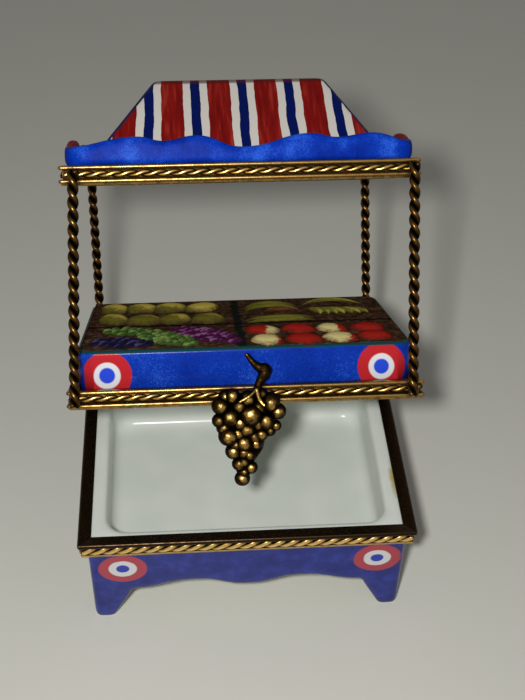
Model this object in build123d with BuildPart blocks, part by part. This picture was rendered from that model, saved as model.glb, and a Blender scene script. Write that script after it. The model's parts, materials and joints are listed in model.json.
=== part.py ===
from build123d import *
from math import atan2, cos, degrees, radians, sin
import os

os.makedirs("parts", exist_ok=True)

# Box: the footed porcelain base and the brass mount round its mouth.
base_width = 57.0
base_depth = 41.0
base_height = 22.0
base_inset = 1.3
base_rim_height = 3.9
base_rim_recede = 0.9
base_rim_flange = 2.25
base_rim_skin = 0.4
base_rim_bevel = 0.25
base_rim_crest = 0.35
base_rim_lip = 0.45
base_band_top = 1.0
base_band_foot = 2.9
base_band_sink = 0.7
base_band_bulge = 0.15
base_foot_lip = 0.45
base_foot_round = 0.12
base_corner = 1.0
lip_end = 2.5
lip_face = 1.5
cavity_depth = 9.0
cavity_corner = 3.5
cavity_floor_round = 2.0
floor_thickness = 1.8
skirt_wall = 1.7
foot_tip = 3.6
foot_top = 7.3
apron_mid = 7.6
apron_high = 9.6
apron_end = 7.7
apron_crest_share = 0.34
side_apron_mid = 8.6
side_crest_share = 0.30

# Lid: the mount strip, the sloping display, and how far it stands open.
lid_end_step = 0.3
lid_face_step = 0.1
lid_inset = 1.6
lid_corner = 2.8
lid_front_height = 5.9
lid_back_height = 9.7
lid_edge_round = 0.7
shell_wall = 2.0
open_angle = 34.5
closing_gap = 0.2

# Mount strip of the lid and awning: two bead lines with a sunk band between.
rim_height = 3.05
rim_flange = 2.6
rim_skin = 0.5
rim_corner = 1.0
bead_radius = 0.28
bead_low = 0.62
bead_high = 2.68
band_sink = 0.7
band_bulge = 0.14
rim_foot = 0.5
rim_top_ease = 0.55

# Posts: two strands twisted together, soldered against the strips. Each leans a little, so each end
# has its own inset from its mount's end, in the order front left, front right, back left, back right.
post_radius = 0.92
strand_radius = 0.46
post_turns = 9
steps_per_turn = 6
post_low_insets = [1.4, 2.1, 2.8, 2.9]
post_high_insets = [2.35, 1.25, 1.65, 2.4]
post_end = 0.8
post_rise = 31.6

# Awning: hipped roof behind a waved valance.
awning_end_step = 0.4
awning_face_step = 0.1
awning_inset = 0.8
awning_corner = 2.4
valance_wall = 1.7
valance_low = 2.3
valance_high = 4.2
gutter_floor = 0.8
eave_end_inset = 4.0
eave_face_inset = 3.0
ridge_length = 28.4
ridge_width = 2.0
ridge_height = 14.0
ridge_shift = 0.9
ridge_round = 0.9
ridge_wall = 2.6

# Waved top of the valance: places along it as shares of half its length, heights as shares of its rise.
front_wave_shares = [(-1.0, 0.26), (-0.58, 1.0), (-0.44, 0.58), (-0.25, 1.0), (0.015, 0.0), (0.41, 1.0),
                     (0.55, 0.60), (0.75, 0.93), (1.0, 0.20)]
side_wave_shares = [(-1.0, 0.23), (-0.50, 1.0), (0.0, 0.10), (0.50, 1.0), (1.0, 0.23)]

# Hinge at the back.
hinge_out = 1.6
knuckle_radius = 1.1
pin_radius = 0.5
running_gap = 0.06
pin_gap = 0.02
hinge_length = 15.0
lid_knuckle_length = 5.4
knuckle_gap = 0.25
pin_over = 0.5
leaf_sink = 0.8
leaf_height = 2.2
leaf_gap = 0.35

# Clasp: a cluster of grapes under a forked stem, each grape as shares of the cluster's length.
cluster_length = 14.0
cluster_top = 2.0
cluster_out = 0.45
cluster_bulge_share = 0.16
grape_shares = [(-0.169, 0.081, 0.081), (0.0, 0.116, 0.09), (0.238, 0.163, 0.105), (-0.297, 0.186, 0.093),
                (0.32, 0.268, 0.087), (0.029, 0.291, 0.128), (-0.192, 0.314, 0.105), (-0.318, 0.348, 0.075),
                (0.186, 0.372, 0.099), (0.297, 0.425, 0.058), (-0.017, 0.454, 0.093), (0.134, 0.512, 0.076),
                (-0.215, 0.523, 0.11), (-0.058, 0.605, 0.099), (0.076, 0.617, 0.07), (-0.169, 0.698, 0.087),
                (0.0, 0.745, 0.07), (-0.111, 0.843, 0.076), (0.017, 0.89, 0.07), (-0.081, 1.012, 0.081)]
grape_sides = 8
stem_sides = 7
grape_leans = (-66, -24, 24, 66)
core_width_share = 0.2
core_top_share = 0.08
core_turn_share = 0.3
core_tip_share = 1.03
core_depth_share = 0.06
lug_width = 4.0
lug_height = 1.2
stem_radius = 0.55
prong_radius = 0.42
stem_path = [(-0.5, 7.7), (1.1, 6.4), (2.5, 5.9), (3.4, 5.2), (2.8, 4.2), (2.1, 3.3), (1.4, 1.9)]
left_prong = [(1.5, 2.1), (0.1, 1.0), (-1.5, 0.1)]
right_prong = [(1.4, 2.1), (2.0, 0.8), (2.4, -0.6)]
stem_out = 0.3

# Shared fits.
seat_gap = 0.05
ease = 0.1

# The lid and the awning follow the box, each a small step in from the mount below it.
lid_width = base_width - 2 * lid_end_step
lid_depth = base_depth - 2 * lid_face_step
awning_width = lid_width - 2 * awning_end_step
awning_depth = lid_depth - 2 * awning_face_step

# The origin lies under the middle of the whole piece as it stands open, from the tip of the hanging
# clasp or the box front, whichever is further forward, to the back of the valance.
tilt = radians(open_angle)
hinge_y = base_depth / 2 + hinge_out
valance_crest = 2 * rim_height + post_rise + valance_high
open_reach = (hinge_y * (1 - cos(tilt)) + (awning_depth / 2 - awning_inset) * cos(tilt)
              + (closing_gap + valance_crest) * sin(tilt))
tip_across, tip_down, tip_size = grape_shares[-1]
clasp_reach = ((base_depth / 2 + cluster_out) * cos(tilt) - hinge_y * (1 - cos(tilt))
               + (tip_down * cluster_length - cluster_top - closing_gap) * sin(tilt)
               + tip_size * cluster_length)
box_place = (max(base_depth / 2, clasp_reach) - open_reach) / 2

ground = Plane(origin=(0, box_place, 0), x_dir=(1, 0, 0), z_dir=(0, 0, 1))
base_frame = ground.offset(base_height)
lid_up = Vector(0, sin(tilt), cos(tilt))
lid_origin = base_frame.from_local_coords(Vector(0, hinge_y * (1 - cos(tilt)), hinge_y * sin(tilt)))
hinge_frame = Plane(origin=lid_origin, x_dir=(1, 0, 0), z_dir=lid_up)
lid_frame = hinge_frame.offset(closing_gap)
awning_frame = lid_frame.offset(rim_height + post_rise)
lid_axis = Axis(lid_origin, lid_up)

sides = {"front": (0, -1), "back": (0, 1), "left": (-1, 0), "right": (1, 0)}


def facing_front(frame, depth):
    """A plane across a frame at one depth, looking out of its front: x runs right and y runs up."""
    return Plane(origin=frame.from_local_coords((0, depth, 0)), x_dir=frame.x_dir, z_dir=-frame.y_dir)


def facing_right(frame, across):
    """A plane along a frame's depth, looking right: x runs back and y runs up."""
    return Plane(origin=frame.from_local_coords((across, 0, 0)), x_dir=frame.y_dir, z_dir=frame.x_dir)


def base_rim_outline():
    """Section of the box mount: bevelled top, crest, sunk band for the rope, and a lip at its foot."""
    inner = -(base_inset - seat_gap)
    top_in = Line((-base_rim_flange, -base_rim_bevel), (-base_rim_crest, 0))
    crest = ThreePointArc(top_in @ 1, (0, -base_rim_lip), (-base_rim_bevel, -base_rim_lip * 2))
    step_in = Line(crest @ 1, (-base_band_sink, -base_band_top))
    band_middle = (base_band_bulge - base_band_sink, -(base_band_top + base_band_foot) / 2)
    band = ThreePointArc(step_in @ 1, band_middle, (-base_band_sink, -base_band_foot))
    step_out = Line(band @ 1, (-base_foot_lip, -base_band_foot))
    foot_middle = (base_foot_round - (base_foot_lip + base_rim_recede) / 2,
                   -(base_band_foot + base_rim_height) / 2)
    foot = ThreePointArc(step_out @ 1, foot_middle, (-base_rim_recede, -base_rim_height))
    Polyline(foot @ 1, (inner, -base_rim_height), (inner, -base_rim_bevel - base_rim_skin),
             (-base_rim_flange, -base_rim_bevel - base_rim_skin), top_in @ 0)


def lid_rim_outline():
    """Section of the lid and awning mounts: a flange below, two bead lines and a sunk, swelling band."""
    inner = -(lid_inset - seat_gap)
    low = ThreePointArc((-bead_radius, bead_low - bead_radius), (0, bead_low),
                        (-bead_radius, bead_low + bead_radius))
    high = ThreePointArc((-bead_radius, bead_high - bead_radius), (0, bead_high),
                         (-bead_radius, bead_high + bead_radius))
    step_low = Line(low @ 1, (-band_sink, bead_low + bead_radius))
    step_high = Line((-band_sink, bead_high - bead_radius), high @ 0)
    ThreePointArc(step_low @ 1, (-band_sink + band_bulge, (bead_low + bead_high) / 2), step_high @ 0)
    Polyline(high @ 1, (-rim_top_ease, rim_height), (inner, rim_height), (inner, rim_skin),
             (-rim_flange, rim_skin), (-rim_flange, 0), (-rim_foot, 0), low @ 0)


def mount_strip(frame, width, depth, side, outline, corner, reach, low, high):
    """One mitred side of a brass mount."""
    x, y = sides[side]
    run, length = (width / 2, depth) if x else (depth / 2, width)
    out = frame.x_dir * x + frame.y_dir * y
    edge = frame.from_local_coords((x * run, y * run, 0))
    section = Plane(origin=edge, x_dir=out, z_dir=out.cross(frame.z_dir))
    w, d = width / 2 + ease, depth / 2 + ease
    if x:
        mitre = [(x * w, -d), (x * w, d), (x * (w - reach), d - reach), (x * (w - reach), reach - d)]
    else:
        mitre = [(-w, y * d), (w, y * d), (w - reach, y * (d - reach)), (reach - w, y * (d - reach))]
    with BuildPart() as strip:
        with BuildSketch(section):
            with BuildLine():
                outline()
            make_face()
        extrude(amount=length / 2, both=True)
        with BuildSketch(frame.offset(low)):
            RectangleRounded(2 * w, 2 * d, corner)
            Polygon(*mitre, align=None, mode=Mode.INTERSECT)
        extrude(amount=high - low, mode=Mode.INTERSECT)
    return strip.part


def solid_of_rings(rings):
    """A solid skinned over rings of points, closed by a flat face at each end."""
    faces = [Face(Wire.make_polygon(ring)) for ring in (rings[0], rings[-1])]
    for low, high in zip(rings, rings[1:]):
        for i, j in zip(range(len(low)), [*range(1, len(low)), 0]):
            faces.append(Face(Wire.make_polygon([low[i], low[j], high[j]])))
            faces.append(Face(Wire.make_polygon([low[i], high[j], high[i]])))
    return Solid(Shell(faces))


def wave_line(points):
    """A smooth run of arcs, level at each crest and dip in turn."""
    for a, b in zip(points, points[1:]):
        middle = ((a[0] + b[0]) / 2, (a[1] + b[1]) / 2)
        TangentArc(a, middle, tangent=(1, 0))
        TangentArc(b, middle, tangent=(-1, 0))


def apron_cut(half_length, crest, mid, high, end):
    """Outline of the gap under one side of the box: bracket feet and a waved apron edge."""
    tip = half_length - foot_tip
    top = half_length - foot_top
    wave_line([(-top, end), (-crest, high), (0, mid), (crest, high), (top, end)])
    Polyline((top, end), (tip, 0), (tip, -ease), (-tip, -ease), (-tip, 0), (-top, end))


# Footed box: prism, hollow skirt below, rounded cavity above, waved apron on all four sides.
box_width = base_width - 2 * base_inset
box_depth = base_depth - 2 * base_inset
box_top = base_height - base_rim_bevel - base_rim_skin - seat_gap
cavity_width = base_width - 2 * (base_rim_flange + lip_end)
cavity_length = base_depth - 2 * (base_rim_flange + lip_face)
cavity_floor = box_top - cavity_depth
under_floor = cavity_floor - floor_thickness
with BuildPart() as base_box:
    with BuildSketch(ground):
        RectangleRounded(box_width, box_depth, base_corner)
    extrude(amount=box_top)
    with BuildSketch(ground):
        RectangleRounded(box_width - 2 * skirt_wall, box_depth - 2 * skirt_wall, base_corner)
    extrude(amount=under_floor, mode=Mode.SUBTRACT)
    with BuildSketch(ground.offset(cavity_floor)):
        RectangleRounded(cavity_width, cavity_length, cavity_corner)
    extrude(amount=cavity_depth, mode=Mode.SUBTRACT)
    fillet(base_box.faces().filter_by_position(Axis.Z, cavity_floor - ease, cavity_floor + ease).edges(),
           cavity_floor_round)
    with BuildSketch(facing_front(ground, 0)):
        with BuildLine():
            apron_cut(box_width / 2, box_width * apron_crest_share / 2, apron_mid, apron_high, apron_end)
        make_face()
    extrude(amount=base_depth, both=True, mode=Mode.SUBTRACT)
    with BuildSketch(facing_right(ground, 0)):
        with BuildLine():
            apron_cut(box_depth / 2, box_depth * side_crest_share / 2, side_apron_mid, apron_high,
                      apron_end)
        make_face()
    extrude(amount=base_width, both=True, mode=Mode.SUBTRACT)
base_box.part.label = "base_box"
export_step(base_box.part, "parts/base_box.step")

# Hinge: two knuckles let into the box mount, one into the lid mount, and the pin through all three.
base_knuckle_length = (hinge_length - lid_knuckle_length) / 2 - knuckle_gap
base_seat = base_depth / 2 - leaf_sink
lid_seat = lid_depth / 2 - leaf_sink
recess = leaf_height + leaf_gap
with BuildPart() as hinge_base_knuckles:
    for hand in (-1, 1):
        start = hand * (lid_knuckle_length / 2 + knuckle_gap)
        with BuildSketch(facing_right(base_frame, start)):
            with Locations((hinge_y, 0)):
                Circle(knuckle_radius)
            Polygon((base_seat + seat_gap, -leaf_gap), (hinge_y, -leaf_gap), (hinge_y, -knuckle_radius),
                    (base_seat + seat_gap, -leaf_height), align=None)
            with Locations((hinge_y, 0)):
                Circle(pin_radius + pin_gap, mode=Mode.SUBTRACT)
        extrude(amount=hand * base_knuckle_length)
hinge_base_knuckles.part.label = "hinge_base_knuckles"
export_step(hinge_base_knuckles.part, "parts/hinge_base_knuckles.step")

with BuildPart() as hinge_lid_knuckle:
    with BuildSketch(facing_right(hinge_frame, 0)):
        with Locations((hinge_y, 0)):
            Circle(knuckle_radius)
        Polygon((lid_seat + seat_gap, leaf_gap), (hinge_y, leaf_gap), (hinge_y, knuckle_radius),
                (lid_seat + seat_gap, leaf_height), align=None)
        with Locations((hinge_y, 0)):
            Circle(pin_radius + running_gap, mode=Mode.SUBTRACT)
    extrude(amount=lid_knuckle_length / 2, both=True)
hinge_lid_knuckle.part.label = "hinge_lid_knuckle"
export_step(hinge_lid_knuckle.part, "parts/hinge_lid_knuckle.step")

with BuildPart() as hinge_pin:
    with BuildSketch(facing_right(base_frame, 0)):
        with Locations((hinge_y, 0)):
            Circle(pin_radius)
    extrude(amount=hinge_length / 2 + pin_over, both=True)
hinge_pin.part.label = "hinge_pin"
export_step(hinge_pin.part, "parts/hinge_pin.step")

# Mounts: four mitred strips each round the box mouth, the lid and the awning.
for side in sides:
    with BuildPart() as base_rim:
        add(mount_strip(base_frame, base_width, base_depth, side, base_rim_outline, base_corner,
                        base_rim_flange + 2 * ease, -base_rim_height - ease, ease))
        if side == "back":
            with BuildSketch(facing_right(base_frame, 0)):
                Polygon((base_seat, -recess), (base_depth / 2 + ease, -recess),
                        (base_depth / 2 + ease, ease), (base_seat, ease), align=None)
            extrude(amount=hinge_length / 2 + knuckle_gap, both=True, mode=Mode.SUBTRACT)
    base_rim.part.label = f"base_rim_{side}"
    export_step(base_rim.part, f"parts/base_rim_{side}.step")

for side in sides:
    with BuildPart() as lid_rim:
        add(mount_strip(lid_frame, lid_width, lid_depth, side, lid_rim_outline, rim_corner,
                        rim_flange + 2 * ease, -ease, rim_height + ease))
        if side == "back":
            with BuildSketch(facing_right(lid_frame, 0)):
                Polygon((lid_seat, -ease), (lid_depth / 2 + ease, -ease),
                        (lid_depth / 2 + ease, recess), (lid_seat, recess), align=None)
            extrude(amount=hinge_length / 2 + knuckle_gap, both=True, mode=Mode.SUBTRACT)
    lid_rim.part.label = f"lid_rim_{side}"
    export_step(lid_rim.part, f"parts/lid_rim_{side}.step")

for side in sides:
    awning_rim = mount_strip(awning_frame, awning_width, awning_depth, side, lid_rim_outline, rim_corner,
                             rim_flange + 2 * ease, -ease, rim_height + ease)
    awning_rim.label = f"awning_rim_{side}"
    export_step(awning_rim, f"parts/awning_rim_{side}.step")

# Lid: a hollow display, its top sloping up to the back, standing on the flange of its mount.
display_width = lid_width - 2 * lid_inset
display_depth = lid_depth - 2 * lid_inset
display_foot = rim_skin + seat_gap
front_top = rim_height + lid_front_height
back_top = rim_height + lid_back_height
with BuildPart() as lid_hollow:
    with BuildSketch(facing_right(lid_frame, 0)):
        Polygon((-display_depth / 2, -ease), (display_depth / 2, -ease),
                (display_depth / 2, back_top - shell_wall), (-display_depth / 2, front_top - shell_wall),
                align=None)
    extrude(amount=display_width / 2, both=True)
    with BuildSketch(lid_frame.offset(-ease)):
        RectangleRounded(display_width - 2 * shell_wall, display_depth - 2 * shell_wall, lid_corner)
    extrude(amount=back_top, mode=Mode.INTERSECT)

with BuildPart() as lid_display:
    with BuildSketch(facing_right(lid_frame, 0)):
        Polygon((-display_depth / 2, display_foot), (display_depth / 2, display_foot),
                (display_depth / 2, back_top), (-display_depth / 2, front_top), align=None)
    extrude(amount=display_width / 2, both=True)
    with BuildSketch(lid_frame.offset(display_foot)):
        RectangleRounded(display_width, display_depth, lid_corner)
    extrude(amount=back_top, mode=Mode.INTERSECT)
    fillet(lid_display.faces().sort_by(lid_axis)[-1].edges(), lid_edge_round)
    add(lid_hollow.part, mode=Mode.SUBTRACT)
lid_display.part.label = "lid_display"
export_step(lid_display.part, "parts/lid_display.step")

# Posts: a two-lobed section turned as it rises, one at each corner.
post_length = rim_height + post_rise + rim_height - 2 * post_end
post_y = lid_depth / 2 + post_radius + seat_gap
post_corners = [("front_left", -1, -1), ("front_right", 1, -1), ("back_left", -1, 1), ("back_right", 1, 1)]
lobes = [(post_radius, 0), (strand_radius, strand_radius), (-strand_radius, strand_radius),
         (-post_radius, 0), (-strand_radius, -strand_radius), (strand_radius, -strand_radius)]
post_steps = post_turns * steps_per_turn
post_step = post_length / post_steps
twist = [[Vector(x, y, post_step * i).rotate(Axis.Z, -360 / steps_per_turn * i) for x, y in lobes]
         for i in range(post_steps + 1)]
twisted = solid_of_rings(twist)
for (corner, hand, face), low, high in zip(post_corners, post_low_insets, post_high_insets):
    low_x, high_x = hand * (lid_width / 2 - low), hand * (awning_width / 2 - high)
    lean = degrees(atan2(high_x - low_x, post_length))
    with BuildPart() as post:
        add(twisted.moved(lid_frame.location * Location((low_x, face * post_y, post_end), (0, lean, 0))))
    post.part.label = f"post_{corner}"
    export_step(post.part, f"parts/post_{corner}.step")

# Awning: the waved valance round a gutter, and the hipped roof rising from it, hollow below.
outer_width = awning_width - 2 * awning_inset
outer_depth = awning_depth - 2 * awning_inset
valance_foot = rim_height + seat_gap
wave_rise = valance_high - valance_low


def valance_outline(half_length, shares):
    """Face of one side of the valance, with its waved top."""
    points = [(a * half_length, rim_height + valance_low + h * wave_rise) for a, h in shares]
    wave_line(points)
    Polyline(points[-1], (half_length, valance_foot), (-half_length, valance_foot), points[0])


def hipped(part_width, part_depth, top_width, top_depth, low, high):
    """A hipped solid: the shape that two crossed trapezoids have in common."""
    with BuildPart() as crossed:
        with BuildSketch(facing_front(awning_frame, 0)):
            Polygon((-part_width / 2, low), (part_width / 2, low), (ridge_shift + top_width / 2, high),
                    (ridge_shift - top_width / 2, high), align=None)
        extrude(amount=part_depth, both=True)
        with BuildSketch(facing_right(awning_frame, 0)):
            Polygon((-part_depth / 2, low), (part_depth / 2, low),
                    (top_depth / 2, high), (-top_depth / 2, high), align=None)
        extrude(amount=part_width, both=True, mode=Mode.INTERSECT)
    return crossed.part


eave_width = awning_width - 2 * eave_end_inset
eave_depth = awning_depth - 2 * eave_face_inset
ridge_top = rim_height + ridge_height
with BuildPart() as hip_roof:
    add(hipped(eave_width, eave_depth, ridge_length, ridge_width, rim_height, ridge_top))
    fillet(hip_roof.faces().sort_by(lid_axis)[-1].edges(), ridge_round)

with BuildPart() as awning_roof:
    for hand in (-1, 1):
        with BuildSketch(facing_front(awning_frame, hand * outer_depth / 2)):
            with BuildLine():
                valance_outline(outer_width / 2, front_wave_shares)
            make_face()
        extrude(amount=hand * valance_wall)
        with BuildSketch(facing_right(awning_frame, hand * outer_width / 2)):
            with BuildLine():
                valance_outline(outer_depth / 2, side_wave_shares)
            make_face()
        extrude(amount=-hand * valance_wall)
    with BuildSketch(awning_frame.offset(valance_foot)):
        Rectangle(outer_width, outer_depth)
    extrude(amount=gutter_floor)
    with BuildSketch(awning_frame.offset(valance_foot)):
        RectangleRounded(outer_width, outer_depth, awning_corner)
    extrude(amount=valance_high + rim_height, mode=Mode.INTERSECT)
    with BuildSketch(awning_frame.offset(rim_skin + seat_gap)):
        RectangleRounded(awning_width - 2 * lid_inset, awning_depth - 2 * lid_inset, rim_corner)
    extrude(amount=rim_height)
    add(hip_roof.part)
    add(hipped(eave_width - 2 * shell_wall, eave_depth - 2 * shell_wall, ridge_length - 2 * shell_wall,
               ridge_width / 2, 0, ridge_top - ridge_wall), mode=Mode.SUBTRACT)
awning_roof.part.label = "awning_roof"
export_step(awning_roof.part, "parts/awning_roof.step")

# Clasp: grapes on a tapering core under a forked stem, flat behind so that it passes the box mount.
cluster_back = -(base_depth / 2 + cluster_out)
core_wide = cluster_length * core_width_share
core_top = cluster_top - cluster_length * core_top_share
core_turn = cluster_top - cluster_length * core_turn_share
core_tip = cluster_top - cluster_length * core_tip_share


def bent_rod(path, thickness):
    """A few-sided rod that follows a bent line in front of the lid mount."""
    across = Vector(0, 1, 0)
    rings = []
    for i, (x, z) in enumerate(path):
        before, after = path[max(i - 1, 0)], path[min(i + 1, len(path) - 1)]
        side = across.cross(Vector(after[0] - before[0], 0, after[1] - before[1]).normalized())
        turns = [radians(360 / stem_sides * j) for j in range(stem_sides)]
        rings.append([Vector(x, cluster_back - stem_out, z) + (side * cos(t) + across * sin(t)) * thickness
                      for t in turns])
    return solid_of_rings(rings)


with BuildPart() as grape_clasp:
    for across, down, size in grape_shares:
        bulge = cluster_bulge_share * (1 - down) / 2
        place = (across * cluster_length, cluster_back - bulge * cluster_length,
                 cluster_top - down * cluster_length)
        turn = across * 360 + down * 180
        meridian = [Vector(cos(radians(lean)), 0, sin(radians(lean))) * size * cluster_length
                    for lean in grape_leans]
        ball = [[point.rotate(Axis.Z, turn + 360 / grape_sides * i) for i in range(grape_sides)]
                for point in meridian]
        add(solid_of_rings(ball).moved(lid_frame.location * Location(place)))
    with BuildSketch(facing_front(lid_frame, cluster_back)):
        Polygon((-core_wide, core_top), (core_wide, core_top), (core_wide, core_turn),
                (tip_across * cluster_length, core_tip), (-core_wide, core_turn), align=None)
    extrude(amount=cluster_length * core_depth_share)
    add(bent_rod(stem_path, stem_radius).moved(lid_frame.location))
    for prong in (left_prong, right_prong):
        add(bent_rod(prong, prong_radius).moved(lid_frame.location))
    split(bisect_by=facing_front(lid_frame, cluster_back), keep=Keep.TOP)
    with BuildSketch(facing_front(lid_frame, -lid_depth / 2 - seat_gap)):
        with Locations((0, rim_height / 2)):
            Rectangle(lug_width, lug_height)
    extrude(amount=(base_depth - lid_depth) / 2 + cluster_out - seat_gap
            + cluster_length * core_depth_share)
grape_clasp.part.label = "grape_clasp"
export_step(grape_clasp.part, "parts/grape_clasp.step")
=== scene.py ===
# %% [markdown]
# # A hinged porcelain box shaped as a market fruit stall
# The real piece is a keepsake box about 57 mm wide: a footed box in blue enamel, a lid painted as a fruit display,
# and a striped awning on four posts of twisted wire, all bound in antiqued gilt brass. The solids come from the CAD
# model. This lesson loads them as a fixed frame and gives each one the finish and the fine work that it has in life.

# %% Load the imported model
import json
import math
import random

import bpy
from mathutils import Matrix, Vector


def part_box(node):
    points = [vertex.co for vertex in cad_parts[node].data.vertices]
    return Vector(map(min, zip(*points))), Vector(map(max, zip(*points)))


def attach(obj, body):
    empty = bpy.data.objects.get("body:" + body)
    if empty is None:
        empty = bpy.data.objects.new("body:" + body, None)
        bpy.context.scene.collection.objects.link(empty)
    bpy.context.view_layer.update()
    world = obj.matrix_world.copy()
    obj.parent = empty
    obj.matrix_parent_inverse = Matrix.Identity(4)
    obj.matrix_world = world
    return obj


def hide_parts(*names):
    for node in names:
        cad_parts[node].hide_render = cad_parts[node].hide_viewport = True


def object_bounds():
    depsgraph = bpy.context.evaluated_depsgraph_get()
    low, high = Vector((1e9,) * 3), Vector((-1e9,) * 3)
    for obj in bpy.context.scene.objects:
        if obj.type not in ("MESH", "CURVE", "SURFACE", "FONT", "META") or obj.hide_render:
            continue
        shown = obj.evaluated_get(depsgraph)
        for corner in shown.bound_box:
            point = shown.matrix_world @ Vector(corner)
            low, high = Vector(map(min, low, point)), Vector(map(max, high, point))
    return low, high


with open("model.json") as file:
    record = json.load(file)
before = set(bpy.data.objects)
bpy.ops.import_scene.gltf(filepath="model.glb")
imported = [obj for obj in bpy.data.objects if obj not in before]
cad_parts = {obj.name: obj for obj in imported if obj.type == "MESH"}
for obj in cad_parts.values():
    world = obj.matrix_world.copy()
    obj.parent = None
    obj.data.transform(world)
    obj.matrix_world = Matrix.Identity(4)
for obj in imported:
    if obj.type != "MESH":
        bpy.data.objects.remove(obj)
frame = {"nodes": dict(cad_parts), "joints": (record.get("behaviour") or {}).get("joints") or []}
cad_low, cad_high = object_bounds()
print("CAD box, mm:", [round(1000 * c, 2) for c in (*cad_low, *cad_high)])

# %% [markdown]
# ## Three places to stand
# The box stands level, but its lid leans back on the hinge, so a band or a fruit would be awkward to place in world
# coordinates. Each family of pieces gets a matrix instead: the box, the lid as if it were shut, and the awning above
# it. The hinge joint of the frame holds all that is needed: where the lid turns, and how far it stands open.

# %% Frames of the box, the lid and the awning
MM = 0.001
CLOSING_GAP = 0.2
RIM_HEIGHT = 3.05
POST_RISE = 31.6

hinge_joint = frame["joints"][0]
hinge = Vector(hinge_joint["pos_m"])
open_angle = math.radians(-hinge_joint["range_deg"][0])
box_low, box_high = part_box("base_box")
box_y = (box_low.y + box_high.y) / 2
box_frame = Matrix.Translation((0, box_y, 0))
lid_shut = Matrix.Translation((0, box_y, hinge.z + CLOSING_GAP * MM))
lid_frame = (Matrix.Translation(hinge) @ Matrix.Rotation(-open_angle, 4, "X")
             @ Matrix.Translation(-hinge) @ lid_shut)
awning_frame = lid_frame @ Matrix.Translation((0, 0, (RIM_HEIGHT + POST_RISE) * MM))
print("lid leans back", round(math.degrees(open_angle), 1), "degrees about y", round(hinge.y / MM, 2), "mm")

# %% [markdown]
# ## Adding a piece
# Every new piece is a mesh made in millimetres in one of those frames. It rides on a body of the model, so that it
# moves when the lid does, and it may stand for a CAD node that it replaces. The frame's matrix is applied to the
# vertices, so each object sits at the origin like the CAD nodes and one set of coordinates serves both. A point
# attribute called paint can carry what a material needs to know about the form, such as how deep a groove is.

# %% One function for a new piece
def add_piece(name, shape, material, body, place, stands_for=()):
    verts, faces, paint = shape
    mesh = bpy.data.meshes.new(name)
    mesh.from_pydata([place @ (Vector(v) * MM) for v in verts], [], faces)
    mesh.materials.append(material)
    mesh.polygons.foreach_set("use_smooth", [True] * len(mesh.polygons))
    if paint:
        layer = mesh.attributes.new("paint", "FLOAT_VECTOR", "POINT")
        layer.data.foreach_set("vector", [c for p in paint for c in p])
    piece = bpy.data.objects.new(name, mesh)
    bpy.context.scene.collection.objects.link(piece)
    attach(piece, body)
    if stands_for:
        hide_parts(*stands_for)
    print(name, len(faces), "faces")
    return piece


def joined(shapes):
    """Several shapes as one."""
    verts, faces, paint = [], [], []
    for v, f, p in shapes:
        start = len(verts)
        verts += v
        faces += [tuple(i + start for i in face) for face in f]
        paint += p
    return verts, faces, paint

# %% [markdown]
# ## Nodes, colours and coordinates
# Colours are written as the sRGB hex values that a painter would pick and turned to linear light by one function.
# One small function adds any shader node with its settings and links, and gives back an output socket. Short forms
# of it do arithmetic, lay one colour over another and make a ramp. Patterns are scaled in real millimetres, so the
# object's coordinates are first carried into the piece's own frame and multiplied up: a noise of scale 1 / 4 then
# has blotches about 4 mm across.

# %% Helpers for materials
def colour(code, alpha=1.0):
    channels = [int(code[i:i + 2], 16) / 255 for i in (1, 3, 5)]
    return (*[c / 12.92 if c <= 0.04045 else ((c + 0.055) / 1.055) ** 2.4 for c in channels], alpha)


def add_node(tree, kind, links, out=0, stops=(), **settings):
    made = tree.nodes.new("ShaderNode" + kind)
    for key, value in settings.items():
        setattr(made, key, value)
    for key, value in links.items():
        if isinstance(value, bpy.types.NodeSocket):
            tree.links.new(value, made.inputs[key])
        else:
            made.inputs[key].default_value = value
    for i, (place, shade) in enumerate(stops):
        stop = made.color_ramp.elements[i] if i < 2 else made.color_ramp.elements.new(place)
        stop.position, stop.color = place, shade
    return made.outputs[out]


def maths(tree, operation, *values):
    return add_node(tree, "Math", dict(enumerate(values)), operation=operation)


def blend(tree, share, under, over):
    return add_node(tree, "Mix", {0: share, 6: under, 7: over}, out=2, data_type="RGBA")


def shades(tree, value, *stops):
    """A ramp through painter's colours; the first two stops are its ends, and others go between them."""
    return add_node(tree, "ValToRGB", {"Fac": value}, stops=[(place, colour(code)) for place, code in stops])


def start_material(name, **sockets):
    material = bpy.data.materials.new(name)
    material.use_nodes = True
    shader = material.node_tree.nodes["Principled BSDF"]
    for socket, value in sockets.items():
        shader.inputs[socket.replace("_", " ")].default_value = value
    return material, material.node_tree, shader


def own_millimetres(tree, place):
    """Object coordinates carried into a frame and multiplied to millimetres."""
    point = add_node(tree, "TexCoord", {}, out="Object")
    turned = add_node(tree, "Mapping", {"Vector": point, "Location": place.to_translation(),
                                        "Rotation": place.to_euler()}, vector_type="TEXTURE")
    return add_node(tree, "VectorMath", {0: turned, "Scale": 1 / MM}, operation="SCALE")


def from_core(tree, point, half_width, half_depth, corner):
    """How far a point lies outside a core that is one corner radius inside a rounded block's walls."""
    size = add_node(tree, "VectorMath", {0: point}, operation="ABSOLUTE")
    over = add_node(tree, "VectorMath", {0: size, 1: (half_width - corner, half_depth - corner, 1e4)},
                    operation="SUBTRACT")
    clear = add_node(tree, "VectorMath", {0: over, 1: (0, 0, 0)}, operation="MAXIMUM")
    return add_node(tree, "VectorMath", {0: clear}, out="Value", operation="LENGTH")

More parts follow.
